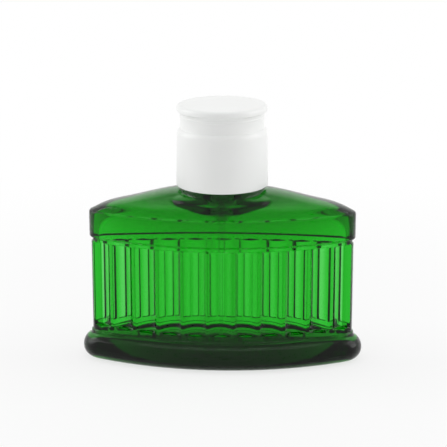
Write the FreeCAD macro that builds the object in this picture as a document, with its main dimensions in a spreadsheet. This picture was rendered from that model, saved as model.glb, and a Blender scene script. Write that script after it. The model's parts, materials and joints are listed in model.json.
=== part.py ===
import FreeCAD, Part
import math
import operator
import os
import types

import Sketcher

Vector = FreeCAD.Vector

# Driving dimensions of the bottle, in millimetres and degrees.
# The origin is the middle of the foot: X across the bottle, -Y to its front, +Z up.
SIZES = {
    # Plan of the glass at its plain band: two shallow arcs joined by round tips.
    "band_half_width": 48.8,
    "band_half_depth": 17.2,
    "band_tip_radius": 6.1,
    # Heights of the glass from the foot up.
    "base_height": 9.5,
    "bead_height": 1.2,
    "flute_margin": 2.1,
    "flute_length": 31.4,
    "strip_height": 2.1,
    "band_height": 10.0,
    "roof_height": 8.5,
    "ring_height": 0.9,
    # How far each zone of the glass stands in from the band, or out from it.
    "base_overhang": 3.0,
    "base_tip_growth": 3.6,
    "bead_inset": 0.2,
    "land_inset": 0.7,
    "strip_inset": 1.1,
    "base_round": 5.0,
    "foot_round_share": 0.955,
    # Hollow flutes round the body.
    "flute_count": 11,
    "flute_share": 0.1925,
    "flute_radius": 6.1,
    "flute_depth": 1.6,
    # Roof: a pillow drawn in on all sides, with an oval step and a round ring under the cap.
    "roof_low_rise": 2.2,
    "roof_low_inset": 5.4,
    "roof_low_tip": 7.0,
    "roof_low_draw": 0.9,
    "roof_high_rise": 5.6,
    "roof_high_inset": 19.5,
    "roof_high_tip": 8.0,
    "roof_high_draw": 4.8,
    "crown_ledge": 1.1,
    "crown_half_depth": 8.5,
    "crown_tip_radius": 6.4,
    "step_rise": 4.6,
    "step_half_width": 23.2,
    "step_draw": 0.6,
    "step_tip_radius": 12.0,
    "step_shoulder_rise": 5.9,
    "step_shoulder_inset": 0.6,
    "step_shoulder_tip": 10.8,
    "step_crown_rise": 7.7,
    "step_crown_side": 0.5,
    "step_crown_front": 0.2,
    "step_crown_tip": 0.4,
    "ring_radius": 15.5,
    # Hollow of the glass.
    "glass_wall": 4.0,
    "floor_thickness": 8.3,
    "cavity_tip_radius": 3.6,
    "cavity_floor_round": 3.0,
    "cavity_eave_drop": 5.5,
    "cavity_low_rise": 4.2,
    "cavity_low_inset": 7.1,
    "cavity_low_draw": 2.2,
    "cavity_low_tip": 4.8,
    "cavity_high_rise": 6.1,
    "cavity_high_inset": 17.1,
    "cavity_high_draw": 3.4,
    "cavity_high_tip": 5.8,
    "throat_rise": 6.8,
    "throat_half_width": 9.0,
    "throat_half_depth": 7.6,
    "throat_tip_radius": 6.6,
    "fill_drop": 4.1,
    # Neck of the glass, a crimp finish.
    "neck_radius": 6.6,
    "neck_height": 2.6,
    "lip_radius": 7.5,
    "lip_height": 3.2,
    "bore_radius": 4.75,
    # Pump: what is clamped on the lip.
    "neck_gasket_thickness": 0.8,
    "neck_gasket_edge": 0.3,
    "housing_flange": 0.8,
    "turret_flange": 0.9,
    "flange_radius": 7.2,
    "barrel_clearance": 0.45,
    "barrel_wall": 0.85,
    "chamber_depth": 15.1,
    "chamber_floor": 1.0,
    "tail_radius": 2.1,
    "tail_length": 4.0,
    "inlet_radius": 0.6,
    "ball_radius": 0.9,
    "ball_lift": 0.6,
    "ball_play": 0.1,
    "cage_wall": 0.5,
    "cage_lip": 0.35,
    "stem_gasket_thickness": 0.8,
    "stem_gasket_seat": 0.45,
    "chimney_radius": 3.0,
    "chimney_height": 2.0,
    "ferrule_wall": 0.4,
    "ferrule_clearance": 0.2,
    "crimp_hook": 0.6,
    "crimp_gap": 0.1,
    # Pump: what moves.
    "press_travel": 5.0,
    "stroke_gap": 0.4,
    "running_fit": 0.06,
    "stem_radius": 1.6,
    "stem_bore": 0.55,
    "stem_grip": 3.0,
    "stop_radius": 2.7,
    "stop_height": 0.9,
    "stop_gap": 0.1,
    "foot_radius": 2.3,
    "foot_height": 0.7,
    "foot_gap": 0.1,
    "piston_height": 2.0,
    "piston_room": 4.6,
    "piston_waist": 0.5,
    "piston_lip": 0.55,
    "main_wire": 0.5,
    "main_coil_radius": 2.45,
    "main_turns": 4.0,
    "small_wire": 0.3,
    "small_coil_radius": 2.1,
    "small_turns": 2.75,
    "spring_seat": 0.05,
    # Dip tube.
    "tube_radius": 1.3,
    "tube_bore": 0.8,
    "tube_socket": 3.0,
    "tube_foot_gap": 1.2,
    # Spray button and its nozzle.
    "button_radius": 6.9,
    "button_height": 9.1,
    "button_wall": 1.2,
    "button_edge": 0.9,
    "dish_depth": 0.55,
    "skirt_depth": 3.4,
    "hub_radius": 2.8,
    "channel_radius": 0.6,
    "channel_rise": 0.9,
    "feed_radius": 0.45,
    "nozzle_radius": 1.9,
    "nozzle_length": 3.0,
    "nozzle_sink": 0.25,
    "nozzle_dish": 0.6,
    "nozzle_dish_radius": 1.1,
    "orifice_radius": 0.2,
    "swirl_radius": 0.7,
    "swirl_depth": 1.6,
    # Collar sleeve over the crimp.
    "collar_radius": 10.0,
    "collar_lap": 0.8,
    "collar_foot_radius": 12.0,
    "collar_foot_height": 1.5,
    "collar_edge": 0.5,
    "button_clearance": 0.4,
    "press_fit": 0.02,
    # Overcap and the liner that grips the collar.
    "cap_gap": 0.3,
    "cap_overhang": 1.2,
    "cap_draft": 0.35,
    "cap_edge": 0.4,
    "cap_body_height": 19.0,
    "cap_shoulder_height": 2.0,
    "cap_shoulder_radius": 2.6,
    "cap_neck_draw": 1.4,
    "cap_neck_height": 4.9,
    "cap_groove_curve": 9.0,
    "cap_cove_radius": 1.7,
    "cap_cove_height": 1.5,
    "cap_rim_draw": 0.25,
    "cap_rim_height": 0.9,
    "cap_rim_round": 1.3,
    "cap_roof": 2.0,
    "cap_wall": 1.4,
    "cap_neck_wall": 1.9,
    "liner_wall": 1.1,
    "liner_flange": 1.2,
    "liner_flange_rise": 13.6,
    "liner_web": 0.9,
    "liner_web_count": 8,
    "liner_web_drop": 9.0,
}

OPERATORS = {"+": operator.add, "-": operator.sub, "*": operator.mul, "/": operator.truediv}


class Size:
    """A dimension with its number and the sheet expression that it is worked out from."""

    def __init__(self, value, text):
        self.value = value
        self.text = text

    def __add__(self, other):
        return worked_out(self, "+", other)

    def __sub__(self, other):
        return worked_out(self, "-", other)

    def __mul__(self, other):
        return worked_out(self, "*", other)

    def __truediv__(self, other):
        return worked_out(self, "/", other)

    def __neg__(self):
        return worked_out(0, "-", self)


def as_size(number):
    return number if isinstance(number, Size) else Size(number, str(number))


def worked_out(left, sign, right):
    left = as_size(left)
    right = as_size(right)
    value = OPERATORS[sign](left.value, right.value)
    return Size(value, f"({left.text} {sign} {right.text})")


doc = FreeCAD.newDocument("bottle")
sheet = doc.addObject("Spreadsheet::Sheet", "Sizes")
for row, (alias, number) in enumerate(SIZES.items(), start=1):
    sheet.set(f"A{row}", alias)
    sheet.set(f"B{row}", str(number))
    sheet.setAlias(f"B{row}", alias)
doc.recompute()
d = types.SimpleNamespace(**{alias: Size(sheet.get(alias), f"Sizes.{alias}") for alias in SIZES})
ZERO = Size(0, "0")

# Heights that several pieces share.
bead_top = d.base_height + d.bead_height
flute_bottom = bead_top + d.flute_margin
flute_top = flute_bottom + d.flute_length
band_bottom = flute_top + d.strip_height
band_top = band_bottom + d.band_height
roof_top = band_top + d.roof_height
ring_top = roof_top + d.ring_height
lip_bottom = ring_top + d.neck_height
lip_top = lip_bottom + d.lip_height
housing_seat = lip_top + d.neck_gasket_thickness
housing_top = housing_seat + d.housing_flange
turret_seat = housing_top + d.turret_flange
ferrule_top = turret_seat + d.ferrule_wall
chimney_top = ferrule_top + d.chimney_height
chamber_bottom = housing_top - d.chamber_depth
gasket_ledge = housing_top - d.stem_gasket_thickness
stop_top = gasket_ledge - d.stop_gap
stop_bottom = stop_top - d.stop_height
foot_top = stop_bottom - d.piston_room - d.foot_gap
foot_bottom = foot_top - d.foot_height
piston_bottom = foot_top + d.foot_gap
piston_top = piston_bottom + d.piston_height
button_bottom = ferrule_top + d.press_travel + d.stroke_gap
button_top = button_bottom + d.button_height
hub_bottom = chimney_top + d.press_travel + d.stroke_gap
stem_top = hub_bottom + d.stem_grip
collar_top = button_bottom + d.collar_lap
collar_foot_top = ring_top + d.collar_foot_height
cap_bottom = ring_top + d.cap_gap
cap_body_top = cap_bottom + d.cap_body_height
cap_neck_bottom = cap_body_top + d.cap_shoulder_height
cap_neck_top = cap_neck_bottom + d.cap_neck_height
cap_rim_bottom = cap_neck_top + d.cap_cove_height
cap_rim_top = cap_rim_bottom + d.cap_rim_height
cap_top = cap_rim_top + d.cap_rim_round
cap_inner_top = cap_top - d.cap_roof

# Radii that several pieces share.
barrel_radius = d.bore_radius - d.barrel_clearance
chamber_radius = barrel_radius - d.barrel_wall
gasket_pocket_radius = chamber_radius + d.stem_gasket_seat
ferrule_bore = d.lip_radius + d.ferrule_clearance
ferrule_radius = ferrule_bore + d.ferrule_wall
stem_guide = d.stem_radius + d.running_fit
button_bore = d.button_radius + d.button_clearance
liner_bore = d.collar_radius + d.running_fit
cap_radius = d.ring_radius + d.cap_overhang
cap_inner_radius = cap_radius - d.cap_wall
cap_neck_radius = cap_radius - d.cap_neck_draw
cap_rim_radius = cap_radius - d.cap_rim_draw
cap_upper_radius = cap_neck_radius - d.cap_neck_wall


def origin_plane(body, role):
    return next(feature for feature in body.Origin.OriginFeatures if feature.Role == role)


def hold(sketch, constraint, size):
    """Add a dimension to a sketch and tie it to the sheet."""
    index = sketch.addConstraint(constraint)
    sketch.setExpression(f"Constraints[{index}]", size.text)


def pin(sketch, edge, end, x, y):
    """Hold one end of an edge at a place measured from the sketch's origin."""
    for kind, axis, size in (("DistanceX", -2, x), ("DistanceY", -1, y)):
        if size is ZERO:
            sketch.addConstraint(Sketcher.Constraint("PointOnObject", edge, end, axis))
        elif size.value < 0:
            hold(sketch, Sketcher.Constraint(kind, edge, end, -1, 1, -size.value), -size)
        else:
            hold(sketch, Sketcher.Constraint(kind, -1, 1, edge, end, size.value), size)


def arc_between(start, end, radius):
    """The short arc from start to end, turning left for a positive radius and right for a negative one."""
    if radius < 0:
        start, end = end, start
    chord = end - start
    left = Vector(-chord.y, chord.x, 0).normalize()
    reach = math.sqrt(radius**2 - (chord.Length / 2) ** 2)
    centre = (start + end) * 0.5 + left * reach
    first = math.atan2(start.y - centre.y, start.x - centre.x)
    last = math.atan2(end.y - centre.y, end.x - centre.x)
    if last < first:
        last += 2 * math.pi
    return Part.ArcOfCircle(Part.Circle(centre, Vector(0, 0, 1), abs(radius)), first, last)


def new_sketch(body, name, plane, height=None):
    sketch = body.newObject("Sketcher::SketchObject", name)
    sketch.AttachmentSupport = [(origin_plane(body, plane), "")]
    sketch.MapMode = "FlatFace"
    if height is not None:
        sketch.setExpression("AttachmentOffset.Base.z", height.text)
    return sketch


def outline(body, name, plane, corners, height=None):
    """A closed sketch through corners (x, y), where (x, y, radius) makes the edge that leaves it an arc."""
    sketch = new_sketch(body, name, plane, height)
    places = [Vector(corner[0].value, corner[1].value, 0) for corner in corners]
    count = len(corners)
    ends = []
    for index, corner in enumerate(corners):
        start = places[index]
        end = places[(index + 1) % count]
        bend = corner[2].value if len(corner) == 3 else 0
        sketch.addGeometry(arc_between(start, end, bend) if bend else Part.LineSegment(start, end))
        ends.append((2, 1) if bend < 0 else (1, 2))
    for index in range(count):
        after = (index + 1) % count
        sketch.addConstraint(Sketcher.Constraint("Coincident", index, ends[index][1], after, ends[after][0]))
    for index, corner in enumerate(corners):
        pin(sketch, index, ends[index][0], corner[0], corner[1])
        if len(corner) == 3:
            bend = corner[2] if corner[2].value > 0 else -corner[2]
            hold(sketch, Sketcher.Constraint("Radius", index, bend.value), bend)
    return sketch


def circle(body, name, plane, radius, height=None, along=ZERO, across=ZERO):
    """A sketch of one circle, its centre along the sketch's first axis and across it."""
    sketch = new_sketch(body, name, plane, height)
    centre = Vector(along.value, across.value, 0)
    sketch.addGeometry(Part.Circle(centre, Vector(0, 0, 1), radius.value))
    pin(sketch, 0, 3, along, across)
    hold(sketch, Sketcher.Constraint("Radius", 0, radius.value), radius)
    return sketch


def new_body(label):
    body = doc.addObject("PartDesign::Body", label)
    body.Label = label
    return body


def pad(body, name, sketch, length, reversed_way=False):
    feature = body.newObject("PartDesign::Pad", name)
    feature.Profile = sketch
    feature.setExpression("Length", length.text)
    feature.Reversed = reversed_way
    return feature


def pocket(body, name, sketch, length, reversed_way=False):
    feature = body.newObject("PartDesign::Pocket", name)
    feature.Profile = sketch
    feature.setExpression("Length", length.text)
    feature.Reversed = reversed_way
    return feature


def revolve(body, name, corners):
    """A ring or disc turned about the bottle's own axis from corners (radius, height)."""
    sketch = outline(body, f"{name}_profile", "XZ_Plane", corners)
    feature = body.newObject("PartDesign::Revolution", name)
    feature.Profile = sketch
    feature.ReferenceAxis = (sketch, ["V_Axis"])
    feature.Angle = 360
    return feature


def turned(label, corners):
    body = new_body(label)
    revolve(body, f"{label}_turning", corners)
    return body


def round_edges(body, name, feature, height, radius):
    """Round the edges of a feature that lie level at a height."""
    doc.recompute()
    level = height.value
    names = []
    for index, edge in enumerate(feature.Shape.Edges, start=1):
        box = edge.BoundBox
        if abs(box.ZMin - level) < 1e-4 and abs(box.ZMax - level) < 1e-4:
            names.append(f"Edge{index}")
    fillet = body.newObject("PartDesign::Fillet", name)
    fillet.Base = (feature, names)
    fillet.setExpression("Radius", radius.text)
    return fillet


def lens(body, name, half_width, half_depth, tip_radius, height):
    """The bottle's plan at one height: front and back arcs that run into round tips."""
    reach = half_width - tip_radius
    face_radius = (reach * reach + half_depth * half_depth - tip_radius * tip_radius) / (
        (half_depth - tip_radius) * 2
    )
    face_centre = face_radius - half_depth
    joint_x = reach * face_radius / (face_radius - tip_radius)
    joint_y = face_centre * tip_radius / (face_radius - tip_radius)
    corners = [
        (-joint_x, -joint_y, face_radius),
        (joint_x, -joint_y, tip_radius),
        (joint_x, joint_y, face_radius),
        (-joint_x, joint_y, tip_radius),
    ]
    return outline(body, name, "XY_Plane", corners, height)


def band_lens(body, name, inset, height):
    """The band's plan drawn in by an even inset."""
    return lens(
        body,
        name,
        d.band_half_width - inset,
        d.band_half_depth - inset,
        d.band_tip_radius - inset,
        height,
    )


def flute_row(body, name, facing):
    """A row of upright hollow flutes over the front (facing -1) or the back (facing 1)."""
    half_width = d.band_half_width - d.land_inset
    half_depth = d.band_half_depth - d.land_inset
    tip_radius = d.band_tip_radius - d.land_inset
    reach = half_width - tip_radius
    face_radius = (reach * reach + half_depth * half_depth - tip_radius * tip_radius) / (
        (half_depth - tip_radius) * 2
    )
    centre_out = face_radius + d.flute_radius - d.flute_depth
    sketch = circle(
        body,
        f"{name}_profile",
        "XY_Plane",
        d.flute_radius,
        flute_bottom,
        across=centre_out if facing > 0 else -centre_out,
    )
    pitch = half_width * d.flute_share / face_radius * math.degrees(1)
    sweep = pitch * (d.flute_count - 1)
    face_centre = face_radius - half_depth
    sketch.setExpression("AttachmentOffset.Base.y", (face_centre * -facing).text)
    sketch.setExpression("AttachmentOffset.Rotation.Angle", (-(sweep / 2)).text)
    flute = pocket(body, f"{name}_first", sketch, d.flute_length, reversed_way=True)
    doc.recompute()
    row = body.newObject("PartDesign::PolarPattern", f"{name}_row")
    row.Originals = [flute]
    row.Axis = (sketch, ["N_Axis"])
    row.setExpression("Angle", sweep.text)
    row.setExpression("Occurrences", d.flute_count.text)
    body.Tip = row
    doc.recompute()
    return row


def glass_form():
    """The outside of the glass as one solid, from the heavy foot to the crimp lip."""
    body = new_body("glass_form")
    plan = lens(
        body,
        "foot_plan",
        d.band_half_width + d.base_overhang,
        d.band_half_depth + d.base_overhang,
        d.band_tip_radius + d.base_tip_growth,
        ZERO,
    )
    foot = pad(body, "foot_pad", plan, d.base_height)
    shoulder = round_edges(body, "foot_shoulder", foot, d.base_height, d.base_round)
    foot_round = (d.base_height - d.base_round) * d.foot_round_share
    round_edges(body, "foot_edge", shoulder, ZERO, foot_round)
    foot_middle = d.base_height / 2
    lands = band_lens(body, "land_plan", d.land_inset, foot_middle)
    pad(body, "land_pad", lands, flute_top - foot_middle)
    bead = band_lens(body, "bead_plan", d.bead_inset, foot_middle)
    pad(body, "bead_pad", bead, bead_top - foot_middle)
    pad(body, "strip_pad", band_lens(body, "strip_plan", d.strip_inset, flute_top), d.strip_height)
    pad(body, "band_pad", band_lens(body, "band_plan", ZERO, band_bottom), d.band_height)
    eave = band_lens(body, "eave_plan", ZERO, band_top)
    low = lens(
        body,
        "roof_low_plan",
        d.band_half_width - d.roof_low_inset,
        d.band_half_depth - d.roof_low_draw,
        d.roof_low_tip,
        band_top + d.roof_low_rise,
    )
    high = lens(
        body,
        "roof_high_plan",
        d.band_half_width - d.roof_high_inset,
        d.band_half_depth - d.roof_high_draw,
        d.roof_high_tip,
        band_top + d.roof_high_rise,
    )
    crown = lens(
        body,
        "roof_crown_plan",
        d.ring_radius + d.crown_ledge,
        d.crown_half_depth,
        d.crown_tip_radius,
        roof_top,
    )
    roof = body.newObject("PartDesign::AdditiveLoft", "roof_loft")
    roof.Profile = eave
    roof.Sections = [low, high, crown]
    step_depth = d.band_half_depth - d.step_draw
    band_middle = band_bottom + d.band_height / 2
    step = lens(body, "step_plan", d.step_half_width, step_depth, d.step_tip_radius, band_middle)
    pad(body, "step_pad", step, band_top + d.step_rise - band_middle)
    step_edge = lens(
        body,
        "step_edge_plan",
        d.step_half_width,
        step_depth,
        d.step_tip_radius,
        band_top + d.step_rise,
    )
    step_shoulder = lens(
        body,
        "step_shoulder_plan",
        d.step_half_width - d.step_shoulder_inset,
        d.ring_radius + d.step_crown_front,
        d.step_shoulder_tip,
        band_top + d.step_shoulder_rise,
    )
    step_crown = lens(
        body,
        "step_crown_plan",
        d.ring_radius + d.step_crown_side,
        d.ring_radius + d.step_crown_front,
        d.ring_radius - d.step_crown_tip,
        band_top + d.step_crown_rise,
    )
    slope = body.newObject("PartDesign::AdditiveLoft", "step_loft")
    slope.Profile = step_edge
    slope.Sections = [step_shoulder, step_crown]
    ring = circle(body, "ring_plan", "XY_Plane", d.ring_radius, band_middle)
    pad(body, "ring_pad", ring, ring_top - band_middle)
    revolve(
        body,
        "crimp_neck",
        [
            (ZERO, roof_top),
            (d.neck_radius, roof_top),
            (d.neck_radius, lip_bottom),
            (d.lip_radius, lip_bottom),
            (d.lip_radius, lip_top),
            (ZERO, lip_top),
        ],
    )
    doc.recompute()
    whole = body.Shape.Volume
    flute_row(body, "front_flute", -1)
    flute_row(body, "back_flute", 1)
    print("flutes take", round(whole - body.Shape.Volume, 1), "mm3 from", round(whole, 1))
    return body


def cavity_form():
    """The hollow of the glass as one solid, up to the top of the bore."""
    body = new_body("cavity_form")
    half_width = d.band_half_width - d.land_inset - d.glass_wall
    half_depth = d.band_half_depth - d.land_inset - d.glass_wall
    eave_height = band_top - d.cavity_eave_drop
    floor = lens(body, "floor_plan", half_width, half_depth, d.cavity_tip_radius, d.floor_thickness)
    room = pad(body, "room_pad", floor, eave_height - d.floor_thickness)
    round_edges(body, "floor_edge", room, d.floor_thickness, d.cavity_floor_round)
    eave = lens(body, "cavity_eave_plan", half_width, half_depth, d.cavity_tip_radius, eave_height)
    low = lens(
        body,
        "cavity_low_plan",
        half_width - d.cavity_low_inset,
        half_depth - d.cavity_low_draw,
        d.cavity_low_tip,
        eave_height + d.cavity_low_rise,
    )
    high = lens(
        body,
        "cavity_high_plan",
        half_width - d.cavity_high_inset,
        half_depth - d.cavity_high_draw,
        d.cavity_high_tip,
        eave_height + d.cavity_high_rise,
    )
    throat = lens(
        body,
        "throat_plan",
        d.throat_half_width,
        d.throat_half_depth,
        d.throat_tip_radius,
        eave_height + d.throat_rise,
    )
    vault = body.newObject("PartDesign::AdditiveLoft", "vault_loft")
    vault.Profile = eave
    vault.Sections = [low, high, throat]
    bore = circle(body, "bore_plan", "XY_Plane", d.bore_radius, eave_height)
    pad(body, "bore_pad", bore, lip_top - eave_height)
    return body


def cut(label, base, tool):
    feature = doc.addObject("Part::Cut", label)
    feature.Label = label
    feature.Base = base
    feature.Tool = tool
    return feature


def pump_envelope():
    """The room that the pump's barrel and tail take up in the liquid."""
    return turned(
        "pump_envelope",
        [
            (ZERO, chamber_bottom - d.chamber_floor - d.tail_length),
            (d.tail_radius, chamber_bottom - d.chamber_floor - d.tail_length),
            (d.tail_radius, chamber_bottom - d.chamber_floor),
            (barrel_radius, chamber_bottom - d.chamber_floor),
            (barrel_radius, housing_top),
            (ZERO, housing_top),
        ],
    )


def lotion_fill(cavity, envelope, tube):
    """The liquid: the hollow up to the fill level, less the pump barrel and the dip tube's wall."""
    level = doc.addObject("Part::Box", "fill_block")
    level.setExpression("Length", (d.band_half_width * 2).text)
    level.setExpression("Width", (d.band_half_depth * 2).text)
    level.setExpression("Height", (roof_top - d.fill_drop).text)
    level.setExpression("Placement.Base.x", (-d.band_half_width).text)
    level.setExpression("Placement.Base.y", (-d.band_half_depth).text)
    filled = doc.addObject("Part::Common", "filled_room")
    filled.Base = cavity
    filled.Tool = level
    round_pump = cut("fill_round_pump", filled, envelope)
    return cut("lotion_fill", round_pump, tube)


def neck_gasket():
    return turned(
        "neck_gasket",
        [
            (barrel_radius + d.press_fit, lip_top),
            (d.lip_radius - d.neck_gasket_edge, lip_top),
            (d.lip_radius - d.neck_gasket_edge, housing_seat),
            (barrel_radius + d.press_fit, housing_seat),
        ],
    )


def pump_housing():
    """The pump's barrel: clamped flange, chamber, caged ball seat and tail socket for the tube."""
    tail_top = chamber_bottom - d.chamber_floor
    tail_bottom = tail_top - d.tail_length
    socket_top = tail_bottom + d.tube_socket
    socket_radius = d.tube_radius + d.press_fit
    cage_bore = d.ball_radius + d.ball_play
    seat = tail_top
    cage_top = seat + d.ball_radius * 2 + d.ball_lift
    return turned(
        "pump_housing",
        [
            (socket_radius, tail_bottom),
            (d.tail_radius, tail_bottom),
            (d.tail_radius, tail_top),
            (barrel_radius, tail_top),
            (barrel_radius, housing_seat),
            (d.flange_radius, housing_seat),
            (d.flange_radius, housing_top),
            (gasket_pocket_radius, housing_top),
            (gasket_pocket_radius, gasket_ledge),
            (chamber_radius, gasket_ledge),
            (chamber_radius, chamber_bottom),
            (cage_bore + d.cage_wall, chamber_bottom),
            (cage_bore + d.cage_wall, cage_top + d.cage_lip),
            (d.ball_radius - d.cage_lip, cage_top + d.cage_lip),
            (d.ball_radius - d.cage_lip, cage_top),
            (cage_bore, cage_top),
            (cage_bore, seat),
            (d.inlet_radius, seat),
            (d.inlet_radius, socket_top),
            (socket_radius, socket_top),
        ],
    )


def inlet_ball():
    """The check ball, resting on the rim of the inlet hole."""
    ball = doc.addObject("Part::Sphere", "inlet_ball")
    ball.Label = "inlet_ball"
    ball.setExpression("Radius", d.ball_radius.text)
    seat = chamber_bottom - d.chamber_floor
    rise = f"sqrt({d.ball_radius.text}^2 - {d.inlet_radius.text}^2)"
    ball.setExpression("Placement.Base.z", f"{seat.text} + {rise}")
    return ball


def dip_tube():
    """A straight tube from the tail socket to just above the floor of the glass."""
    top = chamber_bottom - d.chamber_floor - d.tail_length + d.tube_socket
    bottom = d.floor_thickness + d.tube_foot_gap
    return turned(
        "dip_tube",
        [
            (d.tube_bore, bottom),
            (d.tube_radius, bottom),
            (d.tube_radius, top),
            (d.tube_bore, top),
        ],
    )


def stem_gasket():
    return turned(
        "stem_gasket",
        [
            (stem_guide, gasket_ledge),
            (gasket_pocket_radius - d.press_fit, gasket_ledge),
            (gasket_pocket_radius - d.press_fit, housing_top),
            (stem_guide, housing_top),
        ],
    )


def pump_turret():
    """The guide that closes the barrel and carries the stem through the ferrule."""
    return turned(
        "pump_turret",
        [
            (stem_guide, housing_top),
            (d.flange_radius, housing_top),
            (d.flange_radius, turret_seat),
            (d.chimney_radius, turret_seat),
            (d.chimney_radius, chimney_top),
            (stem_guide, chimney_top),
        ],
    )


def crimp_ferrule():
    """The metal cup that is rolled in under the lip."""
    hook_top = lip_bottom - d.crimp_gap
    hook_bottom = hook_top - d.crimp_hook
    hook_radius = d.neck_radius + d.ferrule_clearance
    hole_radius = d.chimney_radius + d.ferrule_clearance
    return turned(
        "crimp_ferrule",
        [
            (hook_radius, hook_bottom),
            (ferrule_radius, hook_bottom),
            (ferrule_radius, ferrule_top),
            (hole_radius, ferrule_top),
            (hole_radius, turret_seat),
            (ferrule_bore, turret_seat),
            (ferrule_bore, hook_top),
            (hook_radius, hook_top),
        ],
    )


def collar_sleeve():
    """The trim sleeve that hides the crimp, with a foot on the glass ring and a well for the button."""
    return turned(
        "collar_sleeve",
        [
            (ferrule_radius + d.press_fit, ring_top),
            (d.collar_foot_radius, ring_top),
            (d.collar_foot_radius, collar_foot_top),
            (d.collar_radius, collar_foot_top),
            (d.collar_radius, collar_top - d.collar_edge, d.collar_edge),
            (d.collar_radius - d.collar_edge, collar_top),
            (button_bore, collar_top),
            (button_bore, ferrule_top),
            (ferrule_radius + d.press_fit, ferrule_top),
        ],
    )


def pump_stem():
    """The hollow stem: a stop under the gasket, a waist for the piston and a foot on the spring."""
    return turned(
        "pump_stem",
        [
            (ZERO, foot_bottom),
            (d.foot_radius, foot_bottom),
            (d.foot_radius, foot_top),
            (d.stem_radius, foot_top),
            (d.stem_radius, stop_bottom),
            (d.stop_radius, stop_bottom),
            (d.stop_radius, stop_top),
            (d.stem_radius, stop_top),
            (d.stem_radius, stem_top),
            (d.stem_bore, stem_top),
            (d.stem_bore, piston_bottom),
            (ZERO, piston_bottom),
        ],
    )


def pump_piston():
    """The sliding seal: two lips that wipe the barrel, on a waist."""
    seal_radius = chamber_radius - d.running_fit
    return turned(
        "pump_piston",
        [
            (stem_guide, piston_bottom),
            (seal_radius, piston_bottom),
            (seal_radius, piston_bottom + d.piston_lip),
            (seal_radius - d.piston_waist, piston_bottom + d.piston_lip),
            (seal_radius - d.piston_waist, piston_top - d.piston_lip),
            (seal_radius, piston_top - d.piston_lip),
            (seal_radius, piston_top),
            (stem_guide, piston_top),
        ],
    )


def biarc(start, start_way, end, end_way):
    """Two arcs that leave start along start_way, meet smoothly and arrive at end along end_way."""
    span = end - start
    ways = start_way + end_way
    bend = 2 * (1 - start_way.dot(end_way))
    along = span.dot(ways)
    reach = (math.sqrt(along**2 + bend * span.dot(span)) - along) / bend
    first_knee = start + start_way * reach
    second_knee = end - end_way * reach
    middle = (first_knee + second_knee) * 0.5
    edges = []
    for near, knee, far in ((start, first_knee, middle), (middle, second_knee, end)):
        foot = (near + far) * 0.5
        half_turn = math.atan2((knee - foot).Length, (far - near).Length / 2)
        peak = foot + (knee - foot) * (math.tan(half_turn / 2) / math.tan(half_turn))
        edges.append(Part.Arc(near, peak, far).toShape())
    return edges


def coil_spring(label, wire, mean_radius, bottom, top, turns):
    """An open compression spring wound as one wire between two heights."""
    quarters = max(2, round(turns * 4))
    low = bottom + wire / 2
    rise = (top - bottom - wire) / quarters
    slope = rise / (mean_radius * math.pi / 2)

    def place(quarter):
        angle = quarter * math.pi / 2
        return Vector(mean_radius * math.cos(angle), mean_radius * math.sin(angle), low + rise * quarter)

    def heading(quarter):
        angle = quarter * math.pi / 2
        return Vector(-math.sin(angle), math.cos(angle), slope).normalize()

    edges = []
    for quarter in range(quarters):
        edges += biarc(place(quarter), heading(quarter), place(quarter + 1), heading(quarter + 1))
    path = Part.Wire(edges)
    section = Part.Wire(Part.Circle(place(0), heading(0), wire / 2).toShape())
    shell = Part.BRepOffsetAPI.MakePipeShell(path)
    shell.add(section)
    shell.build()
    shell.makeSolid()
    steps = 24
    points = [place(step * 4 / steps) for step in range(int(steps * quarters / 4) + 1)]
    apart = [
        (points[later] - points[first]).Length
        for first in range(len(points))
        for later in range(first + steps // 2, len(points))
    ]
    print(label, "least gap between turns", round(min(apart) - wire, 3), "mm")
    feature = doc.addObject("Part::Feature", label)
    feature.Label = label
    feature.Shape = shell.shape()
    feature.Placement = FreeCAD.Placement()
    return feature


def main_spring():
    return coil_spring(
        "main_spring",
        d.main_wire.value,
        d.main_coil_radius.value,
        (chamber_bottom + d.spring_seat).value,
        (foot_bottom - d.spring_seat).value,
        d.main_turns.value,
    )


def precompression_spring():
    return coil_spring(
        "precompression_spring",
        d.small_wire.value,
        d.small_coil_radius.value,
        (piston_top + d.spring_seat).value,
        (stop_bottom - d.spring_seat).value,
        d.small_turns.value,
    )


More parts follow.
